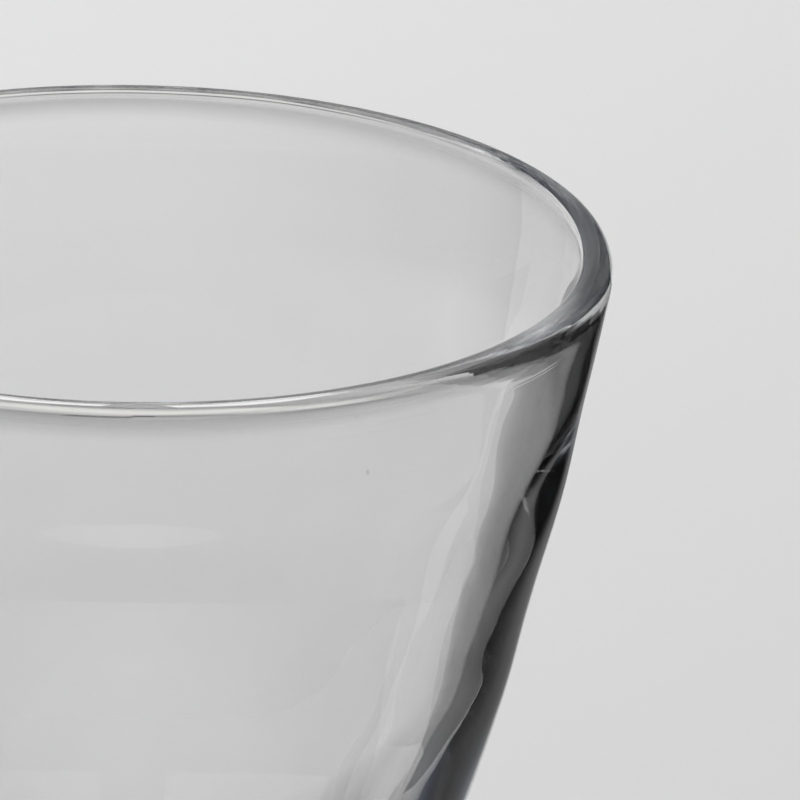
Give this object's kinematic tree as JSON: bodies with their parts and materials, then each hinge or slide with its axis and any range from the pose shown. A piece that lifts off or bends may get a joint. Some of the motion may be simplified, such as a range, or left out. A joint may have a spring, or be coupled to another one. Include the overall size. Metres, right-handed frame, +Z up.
{
  "type": "white wine glass",
  "caption": "Clear stemmed white wine glass: a tall tapering bowl with a thick rounded lip and soft rings in its wall, on a slim flared stem and a round hollowed foot.",
  "frame": {"origin": "middle of the standing ring, on the table", "axes": "+Z up along the stem, from foot to rim; the glass is round, so X and Y are free"},
  "size_m": [0.0796, 0.0796, 0.1671],
  "materials": {
    "bowl_glass": "clear, fire-polished",
    "stem_glass": "clear, fire-polished",
    "foot_glass": "clear, fire-polished"
  },
  "bodies": {
    "root": {"bowl": "bowl_glass", "stem": "stem_glass", "foot": "foot_glass"}
  },
  "joints": []
}
